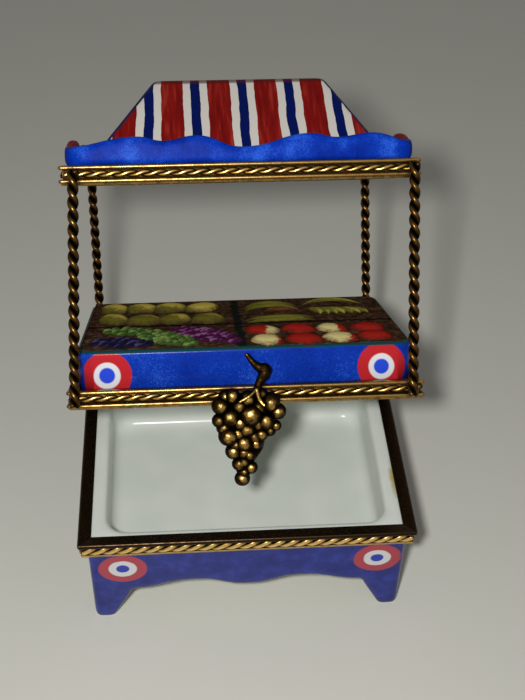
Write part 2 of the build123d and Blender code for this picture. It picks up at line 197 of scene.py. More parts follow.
# %% [markdown]
# ## Antiqued gilt brass
# The mounts, posts, hinge and clasp are stamped and cast brass, gilded and then patinated with a dark wash that is
# wiped off the high places. The eye sees warm gold on each crown and nearly black brown in each hollow. Painting that
# by hand would take a map for each piece. Ambient occlusion measures how shut in a point is within a millimetre,
# which is just where the dark wash stays, and on the wound wire the paint attribute adds how far a point lies below
# the crown. On the clasp the same attribute holds a painted shade that grows from the front of each grape and of the
# stem towards its sides, so only the front stays light as a painted highlight. Together they drive both the colour and
# the roughness, and a fine noise breaks the wiped edge up. A second noise is the grain of the metal: fine where it was
# stamped, coarse where it was cast. Brass is a metal, so it keeps the default IOR.

# %% Gilt brass
WASH_REACH = 1.0
TARNISH_SPOT = 0.9
HAMMER_GRAIN, HAMMER_DEPTH = 0.35, 0.06
CAST_GRAIN, CAST_DEPTH = 0.7, 0.6
OPEN_SHARE, SPOT_SHARE, DEPTH_AND_SHADE_SHARE = 0.7, 0.5, 0.65
WASHED_ROUGHNESS = 0.6


def gilt_brass(name, crown, wash, hollow, wiped=0.8, polish=0.26, grain_size=HAMMER_GRAIN,
               grain_depth=HAMMER_DEPTH):
    """Brass whose colour goes from hollow through wash to crown; wiped is the wear at which the wash begins to go."""
    material, tree, shader = start_material(name, Metallic=1.0)
    point = own_millimetres(tree, Matrix.Identity(4))
    spots = add_node(tree, "TexNoise", {"Vector": point, "Scale": 1 / TARNISH_SPOT, "Detail": 4.0})
    grain = add_node(tree, "TexNoise", {"Vector": point, "Scale": 1 / grain_size, "Detail": 2.0})
    shut_in = add_node(tree, "AmbientOcclusion", {"Distance": WASH_REACH * MM}, out="AO", samples=8)
    form = add_node(tree, "Attribute", {}, out="Vector", attribute_name="paint")
    depth_and_side_shade = add_node(tree, "SeparateXYZ", {0: form}, out="X")
    wear_and_shade = maths(tree, "MULTIPLY", shut_in, OPEN_SHARE)
    wear_and_shade = maths(tree, "MULTIPLY_ADD", spots, SPOT_SHARE, wear_and_shade)
    # on the clasp this term is painted shade towards the sides; on wound wire it is the patina of the grooves
    wear_and_shade = maths(tree, "MULTIPLY_ADD", depth_and_side_shade, -DEPTH_AND_SHADE_SHARE, wear_and_shade)
    tone = shades(tree, wear_and_shade, (wiped - 0.22, hollow), (wiped + 0.18, crown), (wiped, wash))
    tree.links.new(tone, shader.inputs["Base Color"])
    dull = add_node(tree, "MapRange", {0: wear_and_shade, 1: wiped - 0.2, 2: wiped + 0.18, 3: WASHED_ROUGHNESS, 4: polish})
    tree.links.new(dull, shader.inputs["Roughness"])
    bump = add_node(tree, "Bump", {"Height": grain, "Strength": 0.2, "Distance": grain_depth * MM})
    tree.links.new(bump, shader.inputs["Normal"])
    return material


mount_brass = gilt_brass("stamped_gilt_brass", "#9e7d45", "#594121", "#261a0b")
rope_brass = gilt_brass("wound_gilt_band", "#c19c56", "#6c4f24", "#140c04", 0.69)
rubbed_rope_brass = gilt_brass("rubbed_gilt_band", "#efc97c", "#987438", "#1c1107", 0.64)
wire_brass = gilt_brass("twisted_gilt_wire", "#644822", "#291c0b", "#0a0603", 0.78)
cast_brass = gilt_brass("cast_gilt_brass", "#c29a54", "#33240d", "#0a0603", 0.84, grain_size=CAST_GRAIN,
                        grain_depth=CAST_DEPTH)
print("brass materials:", [m.name for m in (mount_brass, rope_brass, rubbed_rope_brass, wire_brass, cast_brass)])

# %% [markdown]
# The top of the box mount is painted nearly black: a painted shade for the dark that its upward faces mirror,
# while its face keeps the gold of the gilt. The same brass is used with darker colours for that painted shade, and
# below the crest a second ramp over the same wear takes over.

# %% Box mount brass with a painted shade on its top
BASE_HALF = (28.5, 20.5)
BASE_TOP = 22.0
CREST_DROP = 0.75
CREST_FADE = 0.25

# the dark colours here are the painted shade on the mount's top
shaded_top_mount_brass = gilt_brass("box_mount_painted_shade_top", "#33261a", "#20160d", "#0c0805")
tree = shaded_top_mount_brass.node_tree
shader = tree.nodes["Principled BSDF"]
painted_shade_top = shader.inputs["Base Color"].links[0].from_socket
wear = painted_shade_top.node.inputs["Fac"].links[0].from_socket
face = shades(tree, wear, (0.45, "#2e200e"), (0.95, "#c2a062"), (0.72, "#7a5e32"))
height = add_node(tree, "SeparateXYZ", {0: own_millimetres(tree, box_frame)}, out="Z")
crest = BASE_TOP - CREST_DROP
below = add_node(tree, "MapRange", {0: height, 1: crest, 2: crest - CREST_FADE, 3: 0.0, 4: 1.0})
mount_tone = blend(tree, below, painted_shade_top, face)
tree.links.new(mount_tone, shader.inputs["Base Color"])
# above the crest the mount shows the painted shade; below it, the gold face
print("box mount rubbed to gold below", crest, "mm")

# %% [markdown]
# ## Soft edges for the CAD solids
# CAD gives each face its own vertices and leaves edges knife sharp. Real glaze pools and rounds every edge, and
# stamped brass has a small radius. Rebuilding the solids would lose their exact sizes, so modifiers do it instead:
# Weld joins the faces, Decimate dissolves the flat triangles, and Bevel rounds what is left. The porcelain forms were
# pressed in plaster moulds and sponged before firing, which leaves no flat edge at all. For them Remesh rebuilds the
# solid in even cells and Smooth wears every edge down to about a millimetre.

# %% Round the edges and dress the brass nodes
SHARP_EDGE = math.radians(32)


def soften(node, material, radius):
    piece = frame["nodes"][node]
    piece.data.materials.clear()
    piece.data.materials.append(material)
    weld = piece.modifiers.new("weld", "WELD")
    weld.merge_threshold = 0.002 * MM
    flat = piece.modifiers.new("flat", "DECIMATE")
    flat.decimate_type, flat.angle_limit = "DISSOLVE", math.radians(1)
    if radius:
        edge = piece.modifiers.new("edge", "BEVEL")
        edge.width, edge.segments, edge.angle_limit = radius * MM, 2, SHARP_EDGE
        edge.limit_method, edge.harden_normals = "ANGLE", False
    piece.modifiers.new("shade", "WEIGHTED_NORMAL").keep_sharp = False
    piece.data.polygons.foreach_set("use_smooth", [True] * len(piece.data.polygons))
    return piece


def sponged(node, material, cell, strokes):
    """A solid rebuilt in even cells and smoothed, as damp clay is under a sponge."""
    piece = soften(node, material, 0)
    piece.modifiers.remove(piece.modifiers["flat"])
    piece.modifiers.remove(piece.modifiers["shade"])
    clay = piece.modifiers.new("clay", "REMESH")
    clay.mode, clay.voxel_size, clay.use_smooth_shade = "VOXEL", cell * MM, True
    sponge = piece.modifiers.new("sponge", "SMOOTH")
    sponge.factor, sponge.iterations = 0.5, strokes
    print(node, "sponged in cells of", cell, "mm")


SIDES = ("front", "back", "left", "right")
STAMPED_RADIUS, HINGE_RADIUS = 0.08, 0.1
for mount in ("base", "lid", "awning"):
    # the box mount's brass carries a painted shade on its top
    brass = shaded_top_mount_brass if mount == "base" else mount_brass
    for side in SIDES:
        soften(f"{mount}_rim_{side}", brass, STAMPED_RADIUS)
for node in ("hinge_base_knuckles", "hinge_lid_knuckle", "hinge_pin"):
    soften(node, mount_brass, HINGE_RADIUS)
print("softened mounts:", 3 * len(SIDES))

# %% [markdown]
# ## Rope bands and twisted posts
# The mounts carry a stamped rope between two fine lines, and the posts are two brass wires twisted together. Both
# are the same form: two strands wound round each other to the left. A helix swept as a mesh gives the real grooves,
# and pressed flat it gives the stamped band. Each crown of the rope is half a turn from the next.

# %% Two strands wound together
STRAND_SHARE = 0.53


def twisted_pair(length, crown_gap, half_height, half_depth, steps=9, sides=10):
    """Strands along X, centred, with the rope's half size across Z and across Y."""
    strand = STRAND_SHARE * half_height
    winding = half_height - strand
    press = half_depth / half_height
    count = max(2, round(length / crown_gap * steps))
    rate = -math.pi / crown_gap
    shapes = []
    for start in (0.0, math.pi):
        verts, faces, paint = [], [], []
        for i in range(count + 1):
            x = length * (i / count - 0.5)
            turn = rate * x + start
            out = Vector((0, math.cos(turn), math.sin(turn)))
            along = Vector((1, -winding * rate * out.z, winding * rate * out.y)).normalized()
            beside = along.cross(out)
            for j in range(sides):
                round_turn = 2 * math.pi * j / sides
                p = Vector((x, 0, 0)) + out * (winding + strand * math.cos(round_turn))
                p += beside * strand * math.sin(round_turn)
                verts.append((p.x, p.y * press, p.z))
                paint.append((1 - math.hypot(p.y, p.z) / half_height, 0, 0))
        for i in range(count):
            for j in range(sides):
                a, b = i * sides + j, i * sides + (j + 1) % sides
                faces.append((a, b, b + sides, a + sides))
        faces.append(tuple(reversed(range(sides))))
        faces.append(tuple(range(count * sides, (count + 1) * sides)))
        shapes.append((verts, faces, paint))
    return joined(shapes)


def turned(shape, matrix):
    verts, faces, paint = shape
    return [tuple(matrix @ Vector(v)) for v in verts], faces, paint


print("a strand takes", STRAND_SHARE, "of the rope's half height")

# %% [markdown]
# The band of the box mount is bold and rubbed bright, and those of the lid and the awning are finer. A displaced strip
# would be lighter to draw, but real strands catch the light from every side, so each side of a mount gets a pressed
# rope of its own. On the box and the lid, the back one leaves room for the hinge.

# %% Bands on the three mounts
BAND_GAP = 0.8
HINGE_RECESS = 8.0


def rope_band(mount, body, place, half_width, half_depth, brass, height, sink, crown_gap, half_height, half_thick):
    """Four bands, one along each side; the back one stops either side of the hinge where there is one."""
    across, along = half_width - sink, half_depth - sink
    wide, deep = half_width - BAND_GAP, half_depth - BAND_GAP
    runs = {"front": [(-wide, wide)], "back": [(-wide, wide)], "left": [(-deep, deep)], "right": [(-deep, deep)]}
    if mount != "awning":
        runs["back"] = [(-wide, -HINGE_RECESS), (HINGE_RECESS, wide)]
    spots = {"front": (0, -along, 0), "back": (0, along, 180), "left": (-across, 0, -90), "right": (across, 0, 90)}
    for side, (x, y, spin) in spots.items():
        shapes = []
        for low, high in runs[side]:
            shape = twisted_pair(high - low, crown_gap, half_height, half_thick)
            shift = Matrix.Translation(((low + high) / 2, 0, 0))
            spot = Matrix.Translation((x, y, height)) @ Matrix.Rotation(math.radians(spin), 4, "Z")
            shapes.append(turned(shape, spot @ shift))
        add_piece(f"{mount}_rope_{side}", joined(shapes), brass, body, place)


LID_HALF = (28.2, 20.4)
AWNING_HALF = (27.8, 20.3)
BOLD_ROPE = {"brass": rubbed_rope_brass, "height": BASE_TOP - 1.85, "sink": 0.52, "crown_gap": 2.27,
             "half_height": 0.86, "half_thick": 0.47}
FINE_ROPE = {"brass": rope_brass, "height": 1.65, "sink": 0.52, "crown_gap": 2.22,
             "half_height": 0.55, "half_thick": 0.34}
rope_band("base", "base", box_frame, *BASE_HALF, **BOLD_ROPE)
rope_band("lid", "lid", lid_frame, *LID_HALF, **FINE_ROPE)
rope_band("awning", "lid", awning_frame, *AWNING_HALF, **FINE_ROPE)

# %% [markdown]
# The posts stand against the outside of the lid's mount and the awning's, in front and behind. They lean a little, each
# in its own way, so each has a place for its foot and one for its head. The wound strands are shown in place of the
# plainer CAD posts.

# %% Four posts of twisted wire
POST_RADIUS = 0.88
POST_CROWN_GAP = 2.05
POST_LOW, POST_HIGH = 0.8, 36.9
POST_FACE = 21.37
POST_ENDS = {"front_left": (-26.8, -25.45), "front_right": (26.1, 26.55),
             "back_left": (-25.4, -26.15), "back_right": (25.3, 25.4)}
upright = Matrix.Rotation(-math.pi / 2, 4, "Y")
for corner, (low_x, high_x) in POST_ENDS.items():
    lean = Matrix.Rotation(math.atan2(high_x - low_x, POST_HIGH - POST_LOW), 4, "Y")
    post = twisted_pair(POST_HIGH - POST_LOW, POST_CROWN_GAP, POST_RADIUS, POST_RADIUS, steps=12, sides=14)
    spot = Matrix.Translation(((low_x + high_x) / 2, POST_FACE * (1 if "back" in corner else -1),
                               (POST_LOW + POST_HIGH) / 2))
    add_piece(f"wire_post_{corner}", turned(post, spot @ lean @ upright), wire_brass, "lid", lid_frame,
              [f"post_{corner}"])

# %% [markdown]
# ## Target roundels
# The box and the lid each have two target roundels on the front, brushed on by hand. A roundel is a ramp of the
# distance from its middle: blue eye, white ring, red ring, and then nothing. The place across is folded about the
# middle of the front, so one ramp paints both, and a noise added to the distance lets the brush wander.

# %% Roundels as a ramp of distance
RAMP_REACH = 5.0
RING_EDGE = 0.02


def with_roundels(tree, ground, parts, front, wander, loose, shift, span, height, squash, rings, blue, white, red):
    """The ground with two roundels on the part of the surface that lies before the place called front."""
    aside = maths(tree, "SUBTRACT", parts.node.outputs["X"], shift)
    aside = maths(tree, "ABSOLUTE", aside)
    aside = maths(tree, "SUBTRACT", aside, span)
    above = maths(tree, "SUBTRACT", parts.node.outputs["Z"], height)
    above = maths(tree, "DIVIDE", above, squash)
    flat_spot = add_node(tree, "CombineXYZ", {"X": aside, "Y": above})
    away = add_node(tree, "VectorMath", {0: flat_spot}, out="Value", operation="LENGTH")
    away = maths(tree, "MULTIPLY_ADD", wander, loose, away)
    share = maths(tree, "DIVIDE", away, RAMP_REACH)
    inks = [colour(blue), colour(white), colour(red), colour(red, 0.0)]
    stops = [(0.0, inks[0]), (1.0, inks[-1])]
    for radius, inner, outer in zip(rings, inks, inks[1:]):
        stops += [(radius / RAMP_REACH - RING_EDGE, inner), (radius / RAMP_REACH + RING_EDGE, outer)]
    target = add_node(tree, "ValToRGB", {"Fac": share}, stops=stops)
    before = maths(tree, "LESS_THAN", parts.node.outputs["Y"], front)
    cover = maths(tree, "MULTIPLY", before, target.node.outputs["Alpha"])
    return blend(tree, cover, ground, target)


print("roundels are drawn out to", RAMP_REACH, "mm")

# %% [markdown]
# ## Enamelled porcelain of the box
# The box is hard-paste porcelain, white under a clear glaze, with blue enamel brushed on outside and fired again.
# The eye sees a soft gloss, brush marks a few millimetres wide and a white edge where the enamel stops at the apron.
# One material paints it all by place: the enamel lies where a point is in the outer skin, the roundels come on top of
# it, and a yellow stain in the glaze of the rim is a stretched spot.

# %% Box material
BOX_HALF = (27.2, 19.2)
BOX_CORNER = 1.0
ENAMEL_SKIN = 0.32
BRUSH_MARK, BRUSH_WANDER = 3.2, 0.9
GLAZE_RIPPLE = 7.0
STAIN_SPOT, STAIN_RADIUS = (26.2, -7.4, 21.3), 0.95
STAIN_STRETCH, STAIN_FADE, STAIN_WANDER = (1.0, 0.2, 1.0), 0.6, 1.2
BOX_ROUNDELS = {"loose": 0.6, "shift": 0.47, "span": 21.9, "height": 13.95, "squash": 0.87,
                "rings": (1.15, 2.42, 4.15), "blue": "#2638a4", "white": "#cfcecd", "red": "#a63c48"}

box_enamel, tree, shader = start_material("blue_enamelled_porcelain", IOR=1.5, Roughness=0.22, Specular_IOR_Level=0.3)
point = own_millimetres(tree, box_frame)
reach = from_core(tree, point, *BOX_HALF, BOX_CORNER)
skin = maths(tree, "GREATER_THAN", reach, BOX_CORNER - ENAMEL_SKIN)
brush = add_node(tree, "TexNoise", {"Vector": point, "Scale": 1 / BRUSH_MARK, "Detail": 5.0, "Roughness": 0.6})
blue = shades(tree, brush, (0.3, "#121c66"), (0.72, "#2e3b96"), (0.5, "#1c287a"))
ripple = add_node(tree, "TexNoise", {"Vector": point, "Scale": 1 / GLAZE_RIPPLE, "Detail": 1.0})
white = shades(tree, ripple, (0.3, "#c6cbc3"), (0.7, "#cdd1c9"))
off_stain = add_node(tree, "VectorMath", {0: point, 1: STAIN_SPOT}, operation="SUBTRACT")
off_stain = add_node(tree, "VectorMath", {0: off_stain, 1: STAIN_STRETCH}, operation="MULTIPLY")
off_stain = add_node(tree, "VectorMath", {0: off_stain}, out="Value", operation="LENGTH")
off_stain = maths(tree, "MULTIPLY_ADD", brush, STAIN_WANDER, off_stain)
stain = add_node(tree, "MapRange", {0: off_stain, 1: STAIN_RADIUS + STAIN_FADE, 2: STAIN_RADIUS, 3: 0.0, 4: 0.85})
white = blend(tree, stain, white, colour("#a5922f"))
parts = add_node(tree, "SeparateXYZ", {0: point})
wander = maths(tree, "MULTIPLY_ADD", brush, BRUSH_WANDER, -BRUSH_WANDER / 2)
painted = with_roundels(tree, blue, parts, -BOX_HALF[1] + 0.4, wander, **BOX_ROUNDELS)
coat = blend(tree, skin, white, painted)
tree.links.new(coat, shader.inputs["Base Color"])
bump = add_node(tree, "Bump", {"Height": ripple, "Strength": 0.3, "Distance": 0.3 * MM})
tree.links.new(bump, shader.inputs["Normal"])
sponged("base_box", box_enamel, 0.42, 22)
print("box enamel covers the outer", ENAMEL_SKIN, "mm")

# %% [markdown]
# ## Painted porcelain of the lid
# The lid's sides are a brighter blue, stippled on with a sponge while the enamel was wet, so they look finely
# speckled. A dark teal line follows the top edge, and inside the lid is bare white glaze. The material sorts the
# surface by height above the sloping top and by distance from its edge.

# %% Lid material
DISPLAY_HALF = (26.6, 18.8)
DISPLAY_CORNER = 2.8
FRONT_TOP, BACK_TOP = 8.95, 12.75
TOP_SLOPE = (BACK_TOP - FRONT_TOP) / (2 * DISPLAY_HALF[1])
SPONGE_DOT, DOT_SHARE = 0.22, 0.5
SPONGE_CLOUD, CLOUD_SHARE, CLOUD_LIFT = 6.0, 0.45, 0.26
SPONGE_WANDER = 0.5
TEAL_DEPTH = 0.42
SIDE_SKIN = 0.5
LID_ROUNDELS = {"loose": 0.8, "shift": -0.15, "span": 21.65, "height": 5.13, "squash": 1.0,
                "rings": (1.22, 2.08, 3.85), "blue": "#2746c9", "white": "#d0cfd2", "red": "#b0242a"}

lid_enamel, tree, shader = start_material("stippled_blue_enamel", IOR=1.5, Specular_IOR_Level=0.08)
point = own_millimetres(tree, lid_frame)
parts = add_node(tree, "SeparateXYZ", {0: point})
reach = from_core(tree, point, *DISPLAY_HALF, DISPLAY_CORNER)
rise = maths(tree, "MULTIPLY_ADD", parts.node.outputs["Y"], TOP_SLOPE, (FRONT_TOP + BACK_TOP) / 2)
above = maths(tree, "SUBTRACT", parts.node.outputs["Z"], rise)
dots = add_node(tree, "TexNoise", {"Vector": point, "Scale": 1 / SPONGE_DOT, "Detail": 2.0})
cloud = add_node(tree, "TexNoise", {"Vector": point, "Scale": 1 / SPONGE_CLOUD, "Detail": 2.0})
patches = maths(tree, "MULTIPLY_ADD", cloud, CLOUD_SHARE, CLOUD_LIFT)
mottle = maths(tree, "MULTIPLY_ADD", dots, DOT_SHARE, patches)
blue = shades(tree, mottle, (0.5, "#051d76"), (1.0, "#3161ce"), (0.78, "#0b329c"))
wander = maths(tree, "MULTIPLY_ADD", cloud, SPONGE_WANDER, -SPONGE_WANDER / 2)
sides = with_roundels(tree, blue, parts, -DISPLAY_HALF[1] + 0.5, wander, **LID_ROUNDELS)
on_top = maths(tree, "GREATER_THAN", above, -TEAL_DEPTH)
outside = blend(tree, on_top, sides, colour("#0c3b3f"))
in_skin = maths(tree, "GREATER_THAN", reach, DISPLAY_CORNER - SIDE_SKIN)
shown = maths(tree, "MAXIMUM", in_skin, on_top)
coat = blend(tree, shown, colour("#dde0da"), outside)
tree.links.new(coat, shader.inputs["Base Color"])
dull = add_node(tree, "MapRange", {0: on_top, 1: 0.0, 2: 1.0, 3: 0.2, 4: 0.5})
tree.links.new(dull, shader.inputs["Roughness"])
bump = add_node(tree, "Bump", {"Height": mottle, "Strength": 0.18, "Distance": 0.12 * MM})
tree.links.new(bump, shader.inputs["Normal"])
soften("lid_display", lid_enamel, 0)
print("lid top rises", round(BACK_TOP - FRONT_TOP, 2), "mm from front to back")

# %% [markdown]
# ## Striped porcelain of the awning
# The awning is one moulded piece: a hipped roof in red, white and blue stripes behind a waved valance in blue. The
# stripes run from ridge to eave, so the long slopes count them along the ridge and the ends count them across it. An
# image would need the roof unwrapped. Here the way from ridge to eave is measured in both directions instead, and the
# larger one tells which slope a point is on.

# %% Slopes of the awning
EAVE_HALF = (23.8, 17.3)
RIDGE_HALF = (14.2, 1.0)
RIDGE_SHIFT = 0.9

awning_enamel, tree, shader = start_material("striped_enamel", IOR=1.5, Roughness=0.36, Specular_IOR_Level=0.015)
point = own_millimetres(tree, awning_frame)
size = add_node(tree, "VectorMath", {0: point}, operation="ABSOLUTE")
parts = add_node(tree, "SeparateXYZ", {0: point})
sizes = add_node(tree, "SeparateXYZ", {0: size})
hips = [add_node(tree, "MapRange", {0: parts.node.outputs["X"], 1: RIDGE_SHIFT + side * RIDGE_HALF[0],
                                    2: side * EAVE_HALF[0], 3: 0.0, 4: 1.0}, clamp=False) for side in (1, -1)]
hip_x = maths(tree, "MAXIMUM", hips[0], hips[1])
hip_y = add_node(tree, "MapRange", {0: sizes.node.outputs["Y"], 1: RIDGE_HALF[1], 2: EAVE_HALF[1], 3: 0.0, 4: 1.0},
                 clamp=False)
hip = maths(tree, "SUBTRACT", hip_x, hip_y)
at_end = maths(tree, "GREATER_THAN", hip, 0.0)
print("long slopes reach", EAVE_HALF[1] - RIDGE_HALF[1], "mm out from the ridge")

# %% [markdown]
# Hand painting shows as stripe edges that wander a little and red that thins into streaks along the brush. The stripes
# are sorted by distance from the nearest blue line: blue, then white, then red. One noise moves the edges, and another
# that is stretched down the long slopes streaks the red.

# %% Stripes
STRIPE_GAP, STRIPE_PHASE = 7.7, 0.207
BLUE_STRIPE, WHITE_STRIPE = 1.5, 1.25
EDGE_WANDER, WANDER_SIZE = 0.7, 5.0
STREAK_STRETCH = (1.4, 0.12, 0.12)

across = add_node(tree, "Mix", {0: at_end, 2: parts.node.outputs["X"], 3: parts.node.outputs["Y"]},
                  data_type="FLOAT")
wobble = add_node(tree, "TexNoise", {"Vector": point, "Scale": 1 / WANDER_SIZE, "Detail": 2.0})
across = maths(tree, "MULTIPLY_ADD", wobble, EDGE_WANDER, across)
turns = maths(tree, "DIVIDE", across, STRIPE_GAP)
turns = maths(tree, "ADD", turns, -STRIPE_PHASE)
place = maths(tree, "FRACT", turns)
nearest = maths(tree, "PINGPONG", place, 0.5, 0.5)
streak_point = add_node(tree, "VectorMath", {0: point, 1: STREAK_STRETCH}, operation="MULTIPLY")
streaks = add_node(tree, "TexNoise", {"Vector": streak_point, "Scale": 1.0, "Detail": 4.0})
red = shades(tree, streaks, (0.3, "#660e0d"), (0.75, "#a03527"), (0.55, "#811512"))
blue_end = BLUE_STRIPE / 2 / STRIPE_GAP
white_end = (BLUE_STRIPE / 2 + WHITE_STRIPE) / STRIPE_GAP
in_blue = maths(tree, "LESS_THAN", nearest, blue_end)
in_white = maths(tree, "LESS_THAN", nearest, white_end)
cloth = blend(tree, in_white, red, colour("#d0cbc1"))
cloth = blend(tree, in_blue, cloth, colour("#051454"))
print("a stripe repeats each", STRIPE_GAP, "mm")

# %% [markdown]
# The painter closed the stripes with a dark line along each hip. Along the rolled ridge a dark red band is painted
# shade, where the roof turns away from the light. The height of the ridge is measured on the CAD mesh, so that painted
# shade stays on it.

# %% Hip lines and painted ridge shade
HIP_LINE = 0.45
RIDGE_SHADE_DROP, RIDGE_SHADE_FADE = 0.55, 0.25

off_hip = maths(tree, "ABSOLUTE", hip)
on_hip = maths(tree, "LESS_THAN", off_hip, HIP_LINE / (EAVE_HALF[0] - RIDGE_HALF[0]))
cloth = blend(tree, on_hip, cloth, colour("#141d4d"))
to_awning = awning_frame.inverted()
ridge_top = max((to_awning @ v.co).z for v in frame["nodes"]["awning_roof"].data.vertices) / MM
print("ridge", round(ridge_top, 2), "mm above the awning's mount")
# painted shade: dark red along the top of the ridge
ridge_shade = add_node(tree, "MapRange", {0: parts.node.outputs["Z"], 1: ridge_top - RIDGE_SHADE_DROP - RIDGE_SHADE_FADE,
                                       2: ridge_top - RIDGE_SHADE_DROP, 3: 0.0, 4: 0.75})
cloth = blend(tree, ridge_shade, cloth, colour("#4f1413"))

# %% [markdown]
# The valance stands round the roof as a low wall, sponged in blue like the lid outside and red on the inner faces of
# its ends. It is told from the roof by its distance from the middle, which needs no second material.

# %% Valance
AWNING_OUT = (27.0, 19.5)
VALANCE_WALL, WALL_SLACK = 1.7, 0.1
LINING_SHARE = 0.85
VALANCE_DOT_SHARE = 0.45

dots = add_node(tree, "TexNoise", {"Vector": point, "Scale": 1 / SPONGE_DOT, "Detail": 2.0})
mottle = maths(tree, "MULTIPLY_ADD", dots, VALANCE_DOT_SHARE, wobble)
blue = shades(tree, mottle, (0.5, "#05207e"), (1.0, "#2b5ed0"), (0.75, "#0a32a0"))
over_x, over_y = [maths(tree, "SUBTRACT", sizes.node.outputs[axis], out - VALANCE_WALL - WALL_SLACK)
                  for axis, out in zip("XY", AWNING_OUT)]
over = maths(tree, "MAXIMUM", over_x, over_y)
in_valance = maths(tree, "GREATER_THAN", over, 0.0)
inner_x = maths(tree, "LESS_THAN", over_x, VALANCE_WALL * LINING_SHARE)
inner_y = maths(tree, "LESS_THAN", over_y, 0.0)
inner = maths(tree, "MULTIPLY", inner_x, inner_y)
valance = blend(tree, inner, blue, red)
coat = blend(tree, in_valance, cloth, valance)
tree.links.new(coat, shader.inputs["Base Color"])
bump = add_node(tree, "Bump", {"Height": streaks, "Strength": 0.15, "Distance": 0.15 * MM})
tree.links.new(bump, shader.inputs["Normal"])
sponged("awning_roof", awning_enamel, 0.36, 24)

# %% [markdown]
# ## Grape clasp
# The clasp is a cast brass bunch of grapes under a bent stem with two prongs. Plain spheres would look like a toy, so
# each grape has a dimple at its lowest point, and all are cut flat behind, as a casting is that has to pass the box
# mount. Each point also stores how far it faces away from the front, which the brass turns into a painted shade
# towards the sides of each grape, leaving a lighter front as a painted highlight.

# %% One cast grape
GRAPE_SIDE_SHADE = 0.9
DIMPLE, DIMPLE_ANGLE = 0.10, 0.35


def cast_grape(middle, radius, back, rings=14, sides=22):
    """A ball dimpled at its lowest point and cut flat behind; its paint is a painted shade that grows away from the
    front.
    """
    verts, faces, paint = [], [], []
    for i in range(rings + 1):
        lean = math.pi * i / rings
        for j in range(sides):
            turn = 2 * math.pi * j / sides
            dimple = 1 - DIMPLE * math.exp(-((math.pi - lean) / DIMPLE_ANGLE) ** 2)
            p = Vector((math.sin(lean) * math.cos(turn), math.sin(lean) * math.sin(turn), math.cos(lean)))
            # painted shade: none on the front of the grape, growing towards its sides
            paint.append((GRAPE_SIDE_SHADE * (1 - max(0.0, -p.y)), 0, 0))
            p = Vector(middle) + p * radius * dimple
            verts.append((p.x, min(p.y, back), p.z))
    for i in range(rings):
        for j in range(sides):
            a, b = i * sides + j, i * sides + (j + 1) % sides
            faces.append((a, a + sides, b + sides, b))
    return verts, faces, paint


print("a dimple takes", DIMPLE, "of a grape's radius")

# %% [markdown]
# The stem and its prongs bend and change in thickness. A curve object with a bevel could give that, but a tube of rings
# along a smooth line is a mesh from the start and can carry the same painted shade towards its sides as the grapes.

# %% A tube that tapers
TUBE_SIDE_SHADE = 0.8


def tapered_tube(path, radii, dark=0.0, steps=6, sides=14):
    """A tube along a smooth line through the points, its thickness going from one radius to the next.

    dark is added to its paint, so a tube can keep more of the wash or less of it.
    """
    points, sizes = [], []
    last = len(path) - 1
    for i in range(last):
        p0, p1, p2, p3 = [Vector(path[min(max(i + k, 0), last)]) for k in (-1, 0, 1, 2)]
        for k in range(steps):
            t = k / steps
            bend = 0.5 * (2 * p1 + (p2 - p0) * t + (2 * p0 - 5 * p1 + 4 * p2 - p3) * t * t
                          + (3 * p1 - p0 - 3 * p2 + p3) * t ** 3)
            points.append(bend)
            ease = t * t * (3 - 2 * t)
            sizes.append(radii[i] * (1 - ease) + radii[i + 1] * ease)
    points.append(Vector(path[-1]))
    sizes.append(radii[-1])
    verts, faces, paint = [], [], []
    for i, p in enumerate(points):
        along = (points[min(i + 1, len(points) - 1)] - points[max(i - 1, 0)]).normalized()
        beside = along.cross(Vector((0, 1, 0))).normalized()
        deep = beside.cross(along)
        for j in range(sides):
            turn = 2 * math.pi * j / sides
            out = beside * math.cos(turn) + deep * math.sin(turn)
            verts.append(tuple(p + out * sizes[i]))
            # painted shade: none on the front of the tube, growing towards its sides, on top of its dark
            paint.append((dark + TUBE_SIDE_SHADE * (1 - max(0.0, -out.y)), 0, 0))
    for i in range(len(points) - 1):
        for j in range(sides):
            a, b = i * sides + j, i * sides + (j + 1) % sides
            faces.append((a, b, b + sides, a + sides))
    faces.append(tuple(reversed(range(sides))))
    faces.append(tuple(range((len(points) - 1) * sides, len(points) * sides)))
    return verts, faces, paint


# the painted shade that a tube's sides take
print("paint at the side of a tube:", TUBE_SIDE_SHADE)

# %% [markdown]
# The grapes are placed as shares of the cluster's length: across, down and radius. A first row bulges out most at the
# top, and a second one behind it fills the gaps.

# %% Bunch of grapes
CLUSTER_LENGTH = 14.4
CLUSTER_TOP = 2.92
CLUSTER_BACK = -20.95
BULGE_SHARE = 0.16
GRAPES = [(-0.169, 0.081, 0.081), (0.0, 0.116, 0.09), (0.238, 0.163, 0.105), (-0.297, 0.186, 0.093),
          (0.32, 0.268, 0.087), (0.029, 0.291, 0.128), (-0.192, 0.314, 0.105), (-0.318, 0.348, 0.075),
          (0.186, 0.372, 0.099), (0.297, 0.425, 0.058), (-0.017, 0.454, 0.093), (0.134, 0.512, 0.076),
          (-0.215, 0.523, 0.11), (-0.058, 0.605, 0.099), (0.076, 0.617, 0.07), (-0.169, 0.698, 0.087),
          (0.0, 0.745, 0.07), (-0.111, 0.843, 0.076), (0.017, 0.89, 0.07), (-0.081, 1.012, 0.081)]
GRAPES_BEHIND = [(-0.24, 0.09, 0.075), (-0.09, 0.19, 0.1), (0.13, 0.2, 0.1), (0.14, 0.09, 0.08), (-0.09, 0.38, 0.1),
                 (0.1, 0.39, 0.095), (-0.26, 0.43, 0.085), (-0.12, 0.5, 0.09), (0.06, 0.54, 0.085),
                 (0.23, 0.48, 0.065), (-0.14, 0.62, 0.085), (-0.06, 0.71, 0.08), (-0.06, 0.82, 0.07),
                 (-0.06, 0.94, 0.065)]
ROW_BULGE, ROW_SWELL = (1.0, 0.6), (1.08, 1.1)

